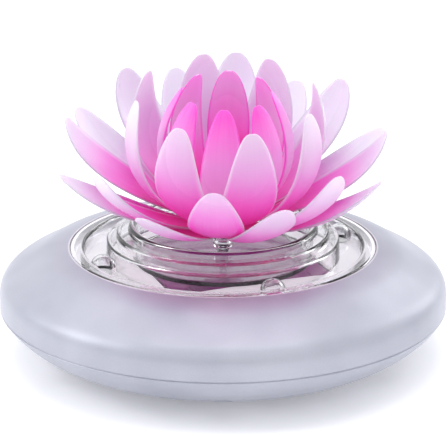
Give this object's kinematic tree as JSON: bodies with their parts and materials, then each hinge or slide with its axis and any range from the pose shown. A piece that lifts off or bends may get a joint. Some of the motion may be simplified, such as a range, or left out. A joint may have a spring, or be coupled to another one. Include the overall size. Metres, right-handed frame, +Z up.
{
  "type": "floating pool light",
  "caption": "Solar floating pool light: a round two-part hull with a clear stepped cover over a solar panel, and a lotus flower on a ball stem that tilts, turns and lifts off.",
  "frame": {"origin": "centre of the flat foot that the hull stands on", "axes": "+Z up along the hull's own axis; -Y towards the side the flower leans to, which is the viewer's side; +X to the viewer's right"},
  "size_m": [0.185, 0.185, 0.1209],
  "materials": {
    "hull": "satin pearl silver moulded plastic",
    "seal": "black moulded rubber",
    "silicone": "milky white moulded silicone",
    "clear": "clear polished acrylic",
    "tray": "white moulded plastic",
    "solar_board": "dark glass-fibre board",
    "solar_cell": "dark aubergine silicon cells",
    "laminate": "clear epoxy over the cells",
    "led": "water-clear epoxy lens",
    "board": "green circuit board",
    "chip": "black moulded package",
    "capacitor": "aluminium can",
    "screw": "stainless steel",
    "holder": "black moulded plastic",
    "cell_wrap": "plain shrink sleeve",
    "spring": "nickel-plated steel",
    "cap": "satin pearl silver moulded plastic",
    "button": "dark grey soft-touch rubber",
    "switch": "black moulded plastic",
    "wire_red": "red insulation",
    "wire_black": "black insulation",
    "petal": "frosted translucent magenta shading to a pale tip",
    "hub": "frosted magenta plastic"
  },
  "bodies": {
    "base": {"lower_hull": "hull", "upper_hull": "hull", "hull_seal": "seal", "hull_screws": "screw", "clear_cover": "clear", "cover_seal": "silicone", "reflector_tray": "tray", "panel_board": "solar_board", "solar_cells": "solar_cell", "panel_laminate": "laminate", "led_1": "led", "led_2": "led", "led_3": "led", "led_4": "led", "led_board": "board", "led_board_screws": "screw", "circuit_board": "board", "control_chip": "chip", "board_capacitor": "capacitor", "board_inductor": "chip", "board_screws": "screw", "battery_holder": "holder", "holder_screws": "screw", "battery_cell_1": "cell_wrap", "battery_cell_2": "cell_wrap", "contact_plates": "spring", "contact_springs": "spring", "button_seal": "seal", "switch_body": "switch", "panel_lead_red": "wire_red", "panel_lead_black": "wire_black", "battery_lead_red": "wire_red", "battery_lead_black": "wire_black", "switch_lead_red": "wire_red", "switch_lead_black": "wire_black", "led_lead_red": "wire_red", "led_lead_black": "wire_black", "stem_post": "clear"},
    "power_button": {"power_button": "button", "switch_plunger": "switch", "button_spring": "spring"},
    "battery_cap": {"battery_cap": "cap", "cap_seal": "seal"},
    "socket": {"ball_socket": "clear"},
    "bush": {"hub_bush": "hub"},
    "flower": {"flower_hub": "hub", "flower_cap": "hub", "petal_ring_1": "petal", "petal_ring_2": "petal", "petal_ring_3": "petal", "petal_ring_4": "petal", "petal_disc_1": "hub", "petal_disc_2": "hub", "petal_disc_3": "hub", "petal_disc_4": "hub"}
  },
  "joints": [
    {"name": "flower_tilt", "type": "hinge", "parent": "base", "child": "socket", "pos_m": [0, 0, 0.0461], "axis": [-0.9938, -0.1115, 0], "range_deg": [0, 22.4]},
    {"name": "flower_lift", "type": "slide", "parent": "socket", "child": "bush", "axis": [0.0217, -0.193, 0.981], "range_m": [0, 0.025]},
    {"name": "flower_turn", "type": "hinge", "parent": "bush", "child": "flower", "pos_m": [0, 0, 0.0461], "axis": [0.0217, -0.193, 0.981], "continuous": true},
    {"name": "button_press", "type": "slide", "parent": "base", "child": "power_button", "axis": [0, 0, 1], "range_m": [0, 0.0012], "stiffness_N_per_m": 1200, "deforming": ["button_spring"]},
    {"name": "cap_turn", "type": "hinge", "parent": "base", "child": "battery_cap", "pos_m": [0, 0, 0.005], "axis": [0, 0, 1], "range_deg": [0, 60]}
  ]
}
